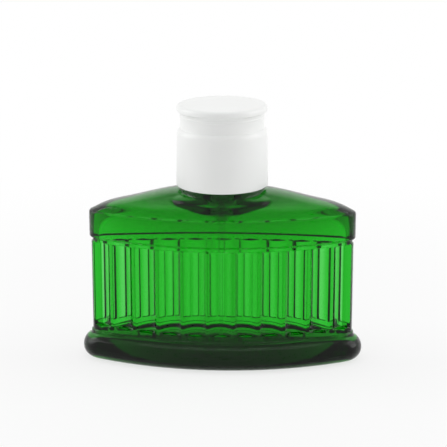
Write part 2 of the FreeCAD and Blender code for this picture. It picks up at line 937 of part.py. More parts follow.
def actuator_button():
    """The spray button: dished top, skirt, hub on the stem and a side hole for the nozzle."""
    socket_radius = d.stem_radius + d.press_fit
    skirt_bore = d.button_radius - d.button_wall
    skirt_top = button_bottom + d.skirt_depth
    channel_top = stem_top + d.channel_rise + d.channel_radius
    dish_rim = d.button_radius - d.button_edge
    dish_curve = (dish_rim * dish_rim + d.dish_depth * d.dish_depth) / (d.dish_depth * 2)
    body = new_body("actuator_button")
    revolve(
        body,
        "button_turning",
        [
            (socket_radius, hub_bottom),
            (d.hub_radius, hub_bottom),
            (d.hub_radius, skirt_top),
            (skirt_bore, skirt_top),
            (skirt_bore, button_bottom),
            (d.button_radius, button_bottom),
            (d.button_radius, button_top - d.button_edge, d.button_edge),
            (dish_rim, button_top, -dish_curve),
            (ZERO, button_top - d.dish_depth),
            (ZERO, channel_top),
            (d.channel_radius, channel_top),
            (d.channel_radius, stem_top),
            (socket_radius, stem_top),
        ],
    )
    nozzle_height = stem_top + d.channel_rise
    hole = circle(body, "nozzle_hole", "XZ_Plane", d.nozzle_radius + d.press_fit, across=nozzle_height)
    hole.setExpression("AttachmentOffset.Base.z", d.button_radius.text)
    doc.recompute()
    before = body.Shape.Volume
    pocket(body, "nozzle_pocket", hole, d.nozzle_length + d.nozzle_sink)
    feed = circle(body, "feed_hole", "XZ_Plane", d.feed_radius, across=nozzle_height)
    feed.setExpression("AttachmentOffset.Base.z", d.button_radius.text)
    pocket(body, "feed_pocket", feed, d.button_radius)
    doc.recompute()
    print("nozzle hole takes", round(before - body.Shape.Volume, 2), "mm3")
    return body


def nozzle_insert():
    """The spray insert: a plug with a swirl chamber behind a fine orifice, facing forwards."""
    length = d.nozzle_length
    body = turned(
        "nozzle_insert",
        [
            (d.swirl_radius, ZERO),
            (d.nozzle_radius, ZERO),
            (d.nozzle_radius, length),
            (d.nozzle_dish_radius, length),
            (d.orifice_radius, length - d.nozzle_dish),
            (d.orifice_radius, d.swirl_depth),
            (d.swirl_radius, d.swirl_depth),
        ],
    )
    back = -(d.button_radius - d.nozzle_sink - length)
    body.Placement = FreeCAD.Placement(Vector(0, 0, 0), FreeCAD.Rotation(Vector(1, 0, 0), 90))
    body.setExpression("Placement.Base.y", back.text)
    body.setExpression("Placement.Base.z", (stem_top + d.channel_rise).text)
    return body


def overcap_shell():
    """The pull-off cap: a drafted cup with a waisted neck under a rolled rim."""
    top_radius = cap_radius - d.cap_draft
    liner_top = collar_foot_top + d.liner_flange_rise + d.liner_flange
    return turned(
        "overcap_shell",
        [
            (cap_inner_radius, cap_bottom),
            (cap_radius - d.cap_edge, cap_bottom, d.cap_edge),
            (cap_radius, cap_bottom + d.cap_edge),
            (top_radius, cap_body_top, d.cap_shoulder_radius),
            (cap_neck_radius, cap_neck_bottom, -d.cap_groove_curve),
            (cap_neck_radius, cap_neck_top, -d.cap_cove_radius),
            (cap_rim_radius, cap_rim_bottom),
            (cap_rim_radius, cap_rim_top, d.cap_rim_round),
            (cap_rim_radius - d.cap_rim_round, cap_top),
            (ZERO, cap_top),
            (ZERO, cap_inner_top),
            (cap_upper_radius, cap_inner_top),
            (cap_upper_radius, liner_top),
            (cap_inner_radius, liner_top),
        ],
    )


def overcap_liner():
    """The inner cup of the cap: a sleeve that grips the collar, hung from a flange with stiffening webs."""
    sleeve_radius = liner_bore + d.liner_wall
    flange_radius = cap_inner_radius - d.press_fit
    flange_bottom = collar_foot_top + d.liner_flange_rise
    flange_top = flange_bottom + d.liner_flange
    body = new_body("overcap_liner")
    revolve(
        body,
        "liner_turning",
        [
            (liner_bore, collar_foot_top),
            (sleeve_radius, collar_foot_top),
            (sleeve_radius, flange_bottom),
            (flange_radius, flange_bottom),
            (flange_radius, flange_top),
            (liner_bore, flange_top),
        ],
    )
    root = sleeve_radius - d.liner_wall / 2
    tip = flange_radius - d.cap_edge
    half_web = d.liner_web / 2
    web = outline(
        body,
        "web_plan",
        "XY_Plane",
        [(root, -half_web), (tip, -half_web), (tip, half_web), (root, half_web)],
        flange_bottom,
    )
    first = pad(body, "web_pad", web, d.liner_web_drop, reversed_way=True)
    doc.recompute()
    webs = body.newObject("PartDesign::PolarPattern", "web_ring")
    webs.Originals = [first]
    webs.Axis = (web, ["N_Axis"])
    webs.Angle = 360
    webs.setExpression("Occurrences", d.liner_web_count.text)
    body.Tip = webs
    return body


cavity = cavity_form()
tube = dip_tube()
pieces = [
    cut("glass_bottle", glass_form(), cavity),
    lotion_fill(cavity, pump_envelope(), tube),
    tube,
    neck_gasket(),
    pump_housing(),
    inlet_ball(),
    main_spring(),
    pump_stem(),
    pump_piston(),
    precompression_spring(),
    stem_gasket(),
    pump_turret(),
    crimp_ferrule(),
    collar_sleeve(),
    actuator_button(),
    nozzle_insert(),
    overcap_liner(),
    overcap_shell(),
]
doc.recompute()

failed = [item.Label for item in doc.Objects if {"Invalid", "Error"} & set(item.State)]
failed += [piece.Label for piece in pieces if piece.Shape.isNull() or not piece.Shape.isValid()]
if failed:
    raise SystemExit(f"these objects failed: {failed}")
os.makedirs("parts", exist_ok=True)
for piece in pieces:
    piece.Shape.exportStep(f"parts/{piece.Label}.step")
    print(piece.Label, len(piece.Shape.Solids), "solid", round(piece.Shape.Volume, 1), "mm3")
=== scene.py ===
import json
import math

import bmesh
import bpy
import numpy as np
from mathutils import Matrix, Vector

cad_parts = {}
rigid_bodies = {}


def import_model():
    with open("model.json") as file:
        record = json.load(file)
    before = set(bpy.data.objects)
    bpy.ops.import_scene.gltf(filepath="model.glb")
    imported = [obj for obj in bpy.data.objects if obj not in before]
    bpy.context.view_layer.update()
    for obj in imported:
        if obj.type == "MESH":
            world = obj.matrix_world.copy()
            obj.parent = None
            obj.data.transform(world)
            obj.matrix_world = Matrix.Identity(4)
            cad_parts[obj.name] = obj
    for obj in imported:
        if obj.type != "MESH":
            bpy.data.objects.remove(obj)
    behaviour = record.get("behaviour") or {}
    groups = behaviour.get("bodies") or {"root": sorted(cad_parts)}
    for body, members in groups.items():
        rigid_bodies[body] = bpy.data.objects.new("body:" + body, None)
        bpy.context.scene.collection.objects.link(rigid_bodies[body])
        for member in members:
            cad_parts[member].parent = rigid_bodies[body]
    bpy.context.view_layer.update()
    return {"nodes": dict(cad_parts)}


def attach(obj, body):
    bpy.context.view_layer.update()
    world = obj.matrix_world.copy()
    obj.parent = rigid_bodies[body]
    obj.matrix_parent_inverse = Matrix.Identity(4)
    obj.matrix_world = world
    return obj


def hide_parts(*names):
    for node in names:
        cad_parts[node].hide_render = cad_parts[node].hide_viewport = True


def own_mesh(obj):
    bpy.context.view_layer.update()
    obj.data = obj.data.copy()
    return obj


for leftover in list(bpy.data.objects):  # an empty stage to start from
    bpy.data.objects.remove(leftover)
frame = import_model()
nodes = frame["nodes"]
print("frame loaded,", len(nodes), "CAD nodes")

mm = 0.001  # shapes below are written in millimetres
blankRadius = 10 * mm  # of a new disc or loop, before its points are placed
glassIndex = 1.52
lotionIndex = 1.36


def colour(hexCode):
    # sRGB hex to the linear values that shaders take
    parts = [int(hexCode[i:i + 2], 16) / 255 for i in (0, 2, 4)]
    return [c / 12.92 if c <= 0.04045 else ((c + 0.055) / 1.055) ** 2.4 for c in parts] + [1.0]


def addNode(tree, kind, settings=None, links=None):
    # one node: plain settings by attribute or socket name, links as socket name to output
    node = tree.nodes.new(kind)
    for name, value in (settings or {}).items():
        if name in node.inputs:
            node.inputs[name].default_value = value
        else:
            setattr(node, name, value)
    for name, source in (links or {}).items():
        tree.links.new(source, node.inputs[name])
    return node


def newMaterial(name, settings):
    material = bpy.data.materials.new(name)
    material.use_nodes = True
    tree = material.node_tree
    tree.nodes.clear()
    shader = addNode(tree, "ShaderNodeBsdfPrincipled", settings)
    out = addNode(tree, "ShaderNodeOutputMaterial", links={"Surface": shader.outputs["BSDF"]})
    place = addNode(tree, "ShaderNodeTexCoord").outputs["Object"]
    return material, tree, shader, out, place


def roughen(tree, shader, place, size, strength, depth, stretch=(1, 1, 1)):
    # fine relief from noise: size is the grain in millimetres, depth its height
    spread = addNode(tree, "ShaderNodeMapping", {"Scale": stretch}, {"Vector": place})
    grain = addNode(tree, "ShaderNodeTexNoise", {"Scale": 1 / (size * mm), "Detail": 2.0},
                    {"Vector": spread.outputs["Vector"]})
    bump = addNode(tree, "ShaderNodeBump", {"Strength": strength, "Distance": depth * mm},
                   {"Height": grain.outputs["Fac"]})
    tree.links.new(bump.outputs["Normal"], shader.inputs["Normal"])


def cloudColour(tree, shader, place, darker, lighter, size):
    # the slight drift of shade that moulded and drawn stock has
    cloud = addNode(tree, "ShaderNodeTexNoise", {"Scale": 1 / (size * mm), "Detail": 2.0}, {"Vector": place})
    shade = addNode(tree, "ShaderNodeMix", {"data_type": "RGBA"}, {0: cloud.outputs["Fac"]})
    shade.inputs[6].default_value = colour(darker)
    shade.inputs[7].default_value = colour(lighter)
    tree.links.new(shade.outputs[2], shader.inputs["Base Color"])


def wetSide(tree, shader, dry, wet):
    # where the liquid touches a surface, light bends by the ratio of the two
    touch = addNode(tree, "ShaderNodeAttribute", {"attribute_name": "wetted"})
    index = addNode(tree, "ShaderNodeMapRange", {"To Min": dry, "To Max": wet},
                    {"Value": touch.outputs["Fac"]})
    tree.links.new(index.outputs["Result"], shader.inputs["IOR"])


def pressedGlass():
    # soda-lime glass pressed in a mould, coloured in the melt: deep where it is thick, bright where thin
    material, tree, shader, out, place = newMaterial("pressed_green_glass", {
        "Base Color": colour("FFFFFF"),
        "Transmission Weight": 1.0,
        "IOR": glassIndex,
        "Roughness": 0.0,
        "Specular Tint": colour("A0A0A0"),  # mirrors less than real glass, or the room veils the green
    })
    wetSide(tree, shader, glassIndex, glassIndex / lotionIndex)
    tint = addNode(tree, "ShaderNodeVolumeAbsorption", {"Color": colour("00EB45"), "Density": 680.0})
    tree.links.new(tint.outputs["Volume"], out.inputs["Volume"])
    roughen(tree, shader, place, size=9, strength=0.06, depth=0.4)  # slow ripple that the mould leaves
    return material


def lotionLiquid():
    # water and alcohol with a green tint
    material, tree, shader, out, place = newMaterial("lotion_liquid", {
        "Base Color": colour("FFFFFF"),
        "Transmission Weight": 1.0,
        "IOR": lotionIndex,
        "Roughness": 0.0,
    })
    wetSide(tree, shader, lotionIndex, 1.0)  # the glass already bends the light where they touch
    tint = addNode(tree, "ShaderNodeVolumeAbsorption", {"Color": colour("00E73F"), "Density": 20.0})
    tree.links.new(tint.outputs["Volume"], out.inputs["Volume"])
    return material


def mouldedPlastic(name, darker, lighter, roughness):
    # plastic from a satin mould: soft gloss, a little light in the wall, very fine grain
    material, tree, shader, out, place = newMaterial(name, {
        "Roughness": roughness,
        "IOR": 1.49,
        "Subsurface Weight": 0.08,
        "Subsurface Radius": (1.2 * mm, 1.2 * mm, 1.2 * mm),
        "Subsurface Scale": 1.0,
    })
    cloudColour(tree, shader, place, darker, lighter, size=14)
    roughen(tree, shader, place, size=0.6, strength=0.05, depth=0.05)
    return material


def clearPlastic(name, index, roughness, clearness):
    # natural plastic in the liquid, hardly seen: its index is taken against the liquid's
    material, tree, shader, out, place = newMaterial(name, {
        "Base Color": colour("F4FAF4"),
        "Transmission Weight": clearness,
        "IOR": index,
        "Roughness": roughness,
    })
    roughen(tree, shader, place, size=3, strength=0.03, depth=0.1)  # draw marks
    return material


def workedMetal(name, darker, lighter, roughness, grain, stretch):
    # bare or clear anodised metal: bright, with a fine grain that stretch pulls into lines
    material, tree, shader, out, place = newMaterial(name, {"Metallic": 1.0, "Roughness": roughness})
    cloudColour(tree, shader, place, darker, lighter, size=6)
    roughen(tree, shader, place, size=grain, strength=0.12, depth=0.02, stretch=stretch)
    return material


def mouldedRubber(name, darker, lighter):
    # black seal rubber: dull, with a slight bloom
    material, tree, shader, out, place = newMaterial(name, {"Roughness": 0.62, "IOR": 1.52})
    cloudColour(tree, shader, place, darker, lighter, size=3)
    roughen(tree, shader, place, size=0.3, strength=0.1, depth=0.04)
    return material


# plan of the bottle: two shallow face arcs that run into round tips
flutes = {
    "count": 11,
    "pitch": math.radians(5.7),
    "radius": 6.1,
    "depth": 1.6,
    "arris": 0.07,
    "edgeStops": (-0.45, -0.22, -0.09, 0, 0.09, 0.22, 0.45),  # mesh lines beside an arris
    "innerStops": 4,  # mesh lines on each side of a flute's middle
    "innerGap": 1.5,  # steps left free beside the arris
    "tipStops": 8,
    "rimStops": 7,
    "margin": 1.0,  # how far off a flute is still looked at
    "clear": -9.0,  # stands for no flute
}
landPlan = (48.1, 16.5, 5.4)
roundJoint = math.radians(76.8)  # where face and tip meet on a plan that is a plain circle
leastTip = 0.4
skinAngle = math.radians(38)  # edges sharper than this stay sharp


def arcsOf(halfWidth, halfDepth, tipRadius):
    if halfDepth - tipRadius < 0.01:  # a plain circle
        return tipRadius, 0.0, 0.0, roundJoint
    reach = halfWidth - tipRadius
    faceRadius = (reach ** 2 + halfDepth ** 2 - tipRadius ** 2) / (2 * (halfDepth - tipRadius))
    joint = math.asin(reach / (faceRadius - tipRadius))
    return faceRadius, faceRadius - halfDepth, reach, joint


def onPlan(plan, place):
    # a point of the plan and its outward direction; place is (side, share), share from -1 to 1
    faceRadius, centre, reach, joint = arcsOf(*plan)
    side, share = place
    if side in (0, 2):
        turn = share * joint
        facing = -1 if side == 0 else 1
        out = (math.sin(turn), facing * math.cos(turn))
        return (faceRadius * out[0], facing * (faceRadius * math.cos(turn) - centre)), out
    turn = share * (math.pi / 2 - joint)
    facing = 1 if side == 1 else -1
    out = (facing * math.cos(turn), math.sin(turn))
    return (facing * reach + plan[2] * out[0], plan[2] * out[1]), out


def fluteCentres():
    faceRadius, centre, reach, joint = arcsOf(*landPlan)
    far = faceRadius + flutes["radius"] - flutes["depth"]
    half = flutes["count"] // 2
    spots = []
    for k in range(-half, half + 1):
        turn = k * flutes["pitch"]
        for facing in (-1, 1):
            spots.append((far * math.sin(turn), facing * (far * math.cos(turn) - centre)))
    return np.array(spots)


def planPlaces():
    # stops round the plan, close together where a flute's arris runs
    faceRadius, centre, reach, joint = arcsOf(*landPlan)
    radius = flutes["radius"]
    far = faceRadius + radius - flutes["depth"]
    halfFlute = math.acos((faceRadius ** 2 + far ** 2 - radius ** 2) / (2 * faceRadius * far))
    half = flutes["count"] // 2
    near = [s / faceRadius for s in flutes["edgeStops"]]
    inner, tips, rims = flutes["innerStops"], flutes["tipStops"], flutes["rimStops"]
    turns = {-joint, joint}
    for k in range(-half, half + 1):
        middle = k * flutes["pitch"]
        turns.update(middle + halfFlute * s / (inner + flutes["innerGap"]) for s in range(-inner, inner + 1))
        for edge in (-halfFlute, halfFlute):
            turns.update(middle + edge + step for step in near)
    faceStops = sorted(t / joint for t in turns if abs(t) <= joint + 1e-9)
    # the outermost flutes run on round the tip: find their edge there
    last = half * flutes["pitch"]
    spot = (far * math.sin(last) - reach, far * math.cos(last) - centre)
    away = math.hypot(*spot)
    tip = landPlan[2]
    mouth = math.acos((tip ** 2 + away ** 2 - radius ** 2) / (2 * tip * away))
    edge = math.atan2(spot[1], spot[0]) - mouth
    span = math.pi / 2 - joint
    tipTurns = {edge * s / tips for s in range(-tips, tips + 1)}
    tipTurns.update(side * (edge + step * faceRadius / tip) for step in near for side in (-1, 1))
    tipTurns.update(side * (edge + (span - edge) * s / rims) for s in range(1, rims) for side in (-1, 1))
    tipStops = sorted(t / span for t in tipTurns if abs(t) < span - 1e-4)
    places = [(0, s) for s in faceStops] + [(1, s) for s in tipStops]
    places += [(2, s) for s in reversed(faceStops)] + [(3, s) for s in reversed(tipStops)]
    return places


places = planPlaces()
fluteSpots = fluteCentres()


def fluteDepths():
    depths = []
    for place in places:
        point, out = onPlan(landPlan, place)
        away = np.array(point) - fluteSpots
        along = away @ np.array(out)
        under = along ** 2 + flutes["radius"] ** 2 - (away ** 2).sum(axis=1)
        close = (away ** 2).sum(axis=1) < (flutes["radius"] + flutes["margin"]) ** 2
        cut = close & (under > 0) & (along < 0)
        into = np.where(cut, along + np.sqrt(np.maximum(under, 0)), flutes["clear"])
        deepest = float(into.max())
        depths.append(0.5 * (deepest + math.sqrt(deepest ** 2 + 4 * flutes["arris"] ** 2)))
    return depths


cutDepths = fluteDepths()
print("plan stops:", len(places))


def ring(height, plan, fluted=0.0):
    # one level of the glass: its plan, with the flutes sunk by a share of their depth
    points = []
    for place, depth in zip(places, cutDepths):
        (x, y), out = onPlan(plan, place)
        sink = depth * fluted
        points.append((x - out[0] * sink, y - out[1] * sink, height))
    return points


def inset(plan, by):
    return (plan[0] - by, plan[1] - by, max(plan[2] - by, leastTip))


def shrunk(plan, share):
    return tuple(size * share for size in plan)


def smoothPlans(sections, steps):
    # plans between given sections (height, half width, half depth, tip), on a natural spline
    knots = np.array(sections, float)
    run = np.concatenate([[0], np.cumsum(np.hypot(np.diff(knots[:, 0]), np.diff(knots[:, 1])))])
    count = len(run)
    gap = np.diff(run)
    system = np.eye(count)
    right = np.zeros_like(knots)
    for i in range(1, count - 1):
        system[i, i - 1:i + 2] = gap[i - 1], 2 * (gap[i - 1] + gap[i]), gap[i]
        right[i] = 6 * ((knots[i + 1] - knots[i]) / gap[i] - (knots[i] - knots[i - 1]) / gap[i - 1])
    bend = np.linalg.solve(system, right)
    found = []
    for s in np.linspace(0, run[-1], steps):
        i = min(int(np.searchsorted(run, s, side="right")) - 1, count - 2)
        ahead, behind, width = run[i + 1] - s, s - run[i], gap[i]
        found.append(bend[i] * ahead ** 3 / (6 * width) + bend[i + 1] * behind ** 3 / (6 * width)
                     + (knots[i] / width - bend[i] * width / 6) * ahead
                     + (knots[i + 1] / width - bend[i + 1] * width / 6) * behind)
    return [(row[0], tuple(row[1:])) for row in found]


def raiseSkin(name, rings, wetFrom):
    # a closed skin: a disc is added, and its rim is extruded from level to level
    bpy.ops.object.select_all(action="DESELECT")
    bpy.ops.mesh.primitive_circle_add(vertices=len(places), radius=blankRadius, fill_type="TRIFAN")
    skin = bpy.context.object
    skin.name = skin.data.name = name
    bpy.ops.object.mode_set(mode="EDIT")
    mesh = bmesh.from_edit_mesh(skin.data)
    mesh.verts.ensure_lookup_table()
    stop = mesh.verts.layers.int.new("stop")
    mesh.verts.layers.int.new("level")
    hub = next(v for v in mesh.verts if len(v.link_edges) > 3)
    rim = sorted((v for v in mesh.verts if v is not hub), key=lambda v: math.atan2(v.co.x, -v.co.y))
    first = min(range(len(places)), key=lambda i: abs(math.atan2(rings[0][i][0], -rings[0][i][1]) + math.pi))
    for i, v in enumerate(rim):
        v[stop] = (first + i) % len(places)
        v.co = Vector(rings[0][v[stop]]) * mm
    hub.co = Vector((0, 0, rings[0][0][2])) * mm
    for face in mesh.faces:
        face.select = False
    for edge in mesh.edges:
        edge.select = hub not in edge.verts
    bmesh.update_edit_mesh(skin.data)
    bpy.ops.mesh.select_mode(type="EDGE")
    for number, points in enumerate(rings[1:], start=1):
        bpy.ops.mesh.extrude_edges_move()
        mesh = bmesh.from_edit_mesh(skin.data)
        stop = mesh.verts.layers.int["stop"]
        level = mesh.verts.layers.int["level"]
        for v in mesh.verts:
            if v.select:
                v[level] = number
                v.co = Vector(points[v[stop]]) * mm
        bmesh.update_edit_mesh(skin.data)
    bpy.ops.mesh.merge(type="CENTER")
    bpy.ops.mesh.select_all(action="SELECT")
    bpy.ops.mesh.remove_doubles(threshold=1e-7)
    bpy.ops.mesh.normals_make_consistent(inside=False)
    bpy.ops.object.mode_set(mode="OBJECT")
    bpy.ops.object.shade_smooth_by_angle(angle=skinAngle)
    # faces from one level on are the ones that the liquid touches
    data = skin.data
    numbers = [value.value for value in data.attributes["level"].data]
    touched = [float(max(numbers[v] for v in face.vertices) > wetFrom) for face in data.polygons]
    for layer in ("stop", "level"):
        data.attributes.remove(data.attributes[layer])
    data.attributes.new("wetted", "FLOAT", "FACE").data.foreach_set("value", touched)
    return skin


glass = {
    "foot": (51.78, 20.19, 9.7),  # plans are half width, half depth and tip radius
    "bead": (48.6, 17.0, 5.9),
    "band": (48.8, 17.2, 6.1),
    "cavity": (44.4, 12.5, 3.6),
    "footRound": 4.3,
    "waist": 4.5,
    "shoulderRound": 5.0,
    "footSweep": 1.5,
    "punt": 0.9,
    "puntShares": (0.06, 0.3, 0.55, 0.75, 0.86),
    "puntReach": 0.9,
    "puntRim": 0.93,
    "beadLevels": [(10.3, 0.0), (10.48, 0.03), (10.58, 0.1), (10.68, 0.24), (10.78, 0.38)],  # height, inset
    "landLevels": [(10.92, -0.06), (11.2, 0.0)],
    "fluteLevels": [(12.7, 0), (12.82, 0.12), (12.94, 0.45), (13.1, 0.82), (13.3, 0.97), (13.6, 1.0), (21, 1),
                    (28, 1), (36, 1), (43.6, 1.0), (44.1, 0.98)],  # height, share of the flutes' depth
    "fluteTops": [(44.3, 0.75, 0.84), (44.4, 0.88, 0.5), (44.5, 1.02, 0.15)],  # height, inset, share
    "bandLevels": [(44.65, 1.1), (45.5, 1.1), (45.75, 1.03), (45.95, 0.8), (46.1, 0.5), (46.25, 0.22),
                   (46.45, 0.06), (46.75, 0.0), (55.3, 0.0), (55.62, 0.07), (55.88, 0.2), (56.08, 0.37),
                   (56.22, 0.56), (56.3, 0.76)],
    "roof": [(56.34, 47.96, 16.4, 5.4), (58.5, 43.4, 16.05, 7.0), (60.2, 36.6, 14.8, 7.6),
             (61.9, 29.3, 12.4, 8.0), (64.2, 18.5, 8.8, 6.5), (64.9, 12.0, 6.0, 4.5)],
    "roofSteps": 30,
    "flare": [(56.3, 23.2, 16.4), (58.5, 23.2, 16.6), (60.8, 23.2, 16.6), (61.2, 23.2, 16.45),
              (61.6, 23.0, 16.1), (62.0, 22.8, 15.75), (62.6, 21.8, 15.55), (63.1, 19.6, 15.5),
              (63.5, 17.6, 15.5), (63.9, 16.2, 15.5), (64.3, 15.6, 15.5), (65.0, 15.5, 15.5)],
    "flareBlend": 0.7,
    "neck": [(65.0, 15.5), (65.4, 15.5), (65.58, 15.43), (65.68, 15.25), (65.7, 15.0), (65.7, 7.2),
             (65.8, 6.75), (66.1, 6.6), (67.9, 6.6), (68.2, 6.8), (68.35, 7.3), (68.6, 7.5), (71.1, 7.5),
             (71.4, 7.35), (71.5, 7.0)],  # height, radius
    "mouth": [(71.5, 5.1), (71.42, 4.85), (71.2, 4.75)],
    "throat": [(60.7, 4.75), (58.75, 4.75), (58.45, 4.85), (58.25, 5.1), (58.12, 5.5), (57.92, 6.4),
               (57.7, 7.4)],
    "vault": [(46.0, 44.4, 12.5, 3.6), (49.5, 44.2, 11.9, 3.6), (52.5, 42.5, 11.2, 4.0),
              (55.0, 37.0, 10.3, 4.8), (56.6, 29.0, 9.6, 5.6), (57.15, 20.0, 8.9, 6.3),
              (57.4, 12.0, 8.3, 6.9)],
    "vaultSteps": 26,
    "wallLevels": (36.0, 24.0),
    "floor": 8.3,
    "floorRound": 1.2,
    "floorSwell": 1.0,
    "floorShares": (0.97, 0.93, 0.85, 0.7, 0.5, 0.35, 0.2, 0.05),
}


def arcSteps(most, steps):
    return [most * step / steps for step in range(steps + 1)]


def circlePlan(radius):
    return (radius, radius, radius)


def flared(points):
    # a level of the roof joined with the round neck that flares into it, soft in the corner
    blend = glass["flareBlend"]
    heights, wides, deeps = zip(*glass["flare"])
    wide = float(np.interp(points[0][2], heights, wides))
    deep = float(np.interp(points[0][2], heights, deeps))
    joined = []
    for x, y, z in points:
        away = math.hypot(x, y)
        neck = 1 / math.hypot(x / away / wide, y / away / deep)
        near = max(blend - abs(away - neck), 0.0) / blend
        reach = max(away, neck) + near ** 3 * blend / 6
        joined.append((x * reach / away, y * reach / away, z))
    return joined


def outerLevels():
    foot, bead, band = glass["foot"], glass["bead"], glass["band"]
    heel, shoulder, sweep = glass["footRound"], glass["shoulderRound"], glass["footSweep"]
    base = inset(foot, heel)
    levels = []
    for share in glass["puntShares"]:  # hollow under the foot
        levels.append(ring(glass["punt"] * (1 - (share / glass["puntReach"]) ** 2), shrunk(base, share)))
    levels += [ring(0.0, shrunk(base, glass["puntRim"])), ring(0.0, base)]
    for turn in arcSteps(math.pi / 2, 8)[1:]:
        levels.append(ring(heel * (1 - math.cos(turn)), inset(foot, heel * (1 - math.sin(turn)))))
    drawn = foot[0] - bead[0]
    rise = math.sqrt((shoulder + sweep) ** 2 - (shoulder + sweep - drawn) ** 2)
    most = math.atan2(rise, shoulder + sweep - drawn)  # where the shoulder turns into the sweep
    for turn in arcSteps(most, 9):
        levels.append(ring(glass["waist"] + shoulder * math.sin(turn),
                           inset(foot, shoulder * (1 - math.cos(turn)))))
    for turn in arcSteps(most, 6)[-2::-1]:
        levels.append(ring(glass["waist"] + rise - sweep * math.sin(turn),
                           inset(foot, drawn - sweep * (1 - math.cos(turn)))))
    levels += [ring(z, inset(bead, by)) for z, by in glass["beadLevels"]]
    levels += [ring(z, inset(landPlan, by)) for z, by in glass["landLevels"]]
    levels += [ring(z, landPlan, share) for z, share in glass["fluteLevels"]]
    levels += [ring(z, inset(band, by), share) for z, by, share in glass["fluteTops"]]
    levels += [ring(z, inset(band, by)) for z, by in glass["bandLevels"]]
    levels += [flared(ring(z, plan)) for z, plan in smoothPlans(glass["roof"], glass["roofSteps"])]
    levels += [ring(z, circlePlan(radius)) for z, radius in glass["neck"]]
    return levels


def mouthLevels():
    # the dry part of the hollow, from the lip down to the liquid
    return [ring(z, circlePlan(radius)) for z, radius in glass["mouth"]]


def wetLevels(spread=0.0):
    # the hollow from the liquid's level down; spread grows it into the glass all round
    levels = [ring(z, circlePlan(radius + spread)) for z, radius in glass["throat"]]
    vault = reversed(smoothPlans(glass["vault"], glass["vaultSteps"]))
    levels += [ring(z, inset(plan, -spread)) for z, plan in vault]
    wall = inset(glass["cavity"], -spread)
    low = glass["floor"] - spread
    bend = glass["floorRound"]
    levels += [ring(z, wall) for z in glass["wallLevels"]]
    for turn in arcSteps(math.pi / 2, 8):
        levels.append(ring(low + bend * (1 - math.sin(turn)), inset(wall, bend * (1 - math.cos(turn)))))
    base = inset(wall, bend)
    levels += [ring(low + glass["floorSwell"] * (1 - share ** 2), shrunk(base, share))
               for share in glass["floorShares"]]
    return levels


dryLevels = outerLevels() + mouthLevels()
bottleGlass = raiseSkin("bottle_glass", dryLevels + wetLevels(), len(dryLevels))
bottleGlass.data.materials.append(pressedGlass())
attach(bottleGlass, "bottle")
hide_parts("glass_bottle")
print("glass:", len(bottleGlass.data.polygons), "faces")

liquid = {
    "overlap": 0.06,  # how far the liquid runs into the glass
    "brimShares": (0.05, 0.5, 0.97),
}
lotionLevels = wetLevels(liquid["overlap"])
brimLevels = [[(x * share, y * share, z) for x, y, z in lotionLevels[0]] for share in liquid["brimShares"]]
lotion = raiseSkin("lotion", brimLevels + lotionLevels, len(brimLevels))
lotion.data.materials.append(lotionLiquid())
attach(lotion, "bottle")
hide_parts("lotion_fill")
print("lotion:", len(lotion.data.polygons), "faces")


spunAngle = math.radians(30)  # edges sharper than this stay sharp
cap = {
    "steps": 192,
    "profile": [(15.3, 66.0), (16.3, 66.0), (16.45, 66.03), (16.58, 66.12), (16.67, 66.25), (16.7, 66.42),
                (16.37, 84.5), (16.35, 85.0), (16.27, 85.55), (16.1, 86.05), (15.85, 86.5), (15.6, 86.8),
                (15.46, 86.95), (15.32, 87.02), (15.28, 87.15), (15.15, 88.0), (15.08, 88.9), (15.06, 89.4),
                (15.08, 89.9), (15.13, 90.6), (15.2, 91.1), (15.34, 91.18), (15.38, 91.3), (15.38, 91.65),
                (15.3, 91.78), (15.3, 91.95), (15.36, 92.35), (15.52, 92.75), (15.78, 93.08), (16.1, 93.3),
                (16.36, 93.38), (16.44, 93.48), (16.45, 93.6), (16.45, 94.25), (16.38, 94.7), (16.17, 95.1),
                (15.85, 95.4), (15.5, 95.55), (15.15, 95.6), (14.6, 95.58), (12.0, 95.5), (6.0, 95.45),
                (0.0, 95.44), (0.0, 93.6), (13.1, 93.6), (13.4, 93.3), (13.4, 82.0), (15.3, 82.0)],
}


def spinPiece(name, profile, steps):
    # a profile (radius, height) is drawn, then spun about the bottle's axis
    bpy.ops.object.select_all(action="DESELECT")
    bpy.ops.mesh.primitive_circle_add(vertices=len(profile), radius=blankRadius, fill_type="NOTHING")
    piece = bpy.context.object
    piece.name = piece.data.name = name
    bpy.ops.object.mode_set(mode="EDIT")
    mesh = bmesh.from_edit_mesh(piece.data)
    mesh.verts.ensure_lookup_table()
    for v, (radius, height) in zip(mesh.verts, profile):
        v.co = (radius * mm, 0, height * mm)
    bmesh.update_edit_mesh(piece.data)
    bpy.ops.mesh.select_all(action="SELECT")
    bpy.ops.mesh.spin(steps=steps, angle=2 * math.pi, center=(0, 0, 0), axis=(0, 0, 1))
    bpy.ops.mesh.select_all(action="SELECT")
    bpy.ops.mesh.remove_doubles(threshold=1e-6)
    bpy.ops.mesh.delete_loose()
    bpy.ops.mesh.select_all(action="SELECT")
    bpy.ops.mesh.normals_make_consistent(inside=False)
    bpy.ops.object.mode_set(mode="OBJECT")
    bpy.ops.object.shade_smooth_by_angle(angle=spunAngle)
    return piece


overcap = spinPiece("overcap", cap["profile"], cap["steps"])
overcap.data.materials.append(mouldedPlastic("moulded_white_polypropylene", "F1F2F0", "F5F6F5", 0.32))
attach(overcap, "cap")
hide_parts("overcap_shell")
print("cap:", len(overcap.data.polygons), "faces")


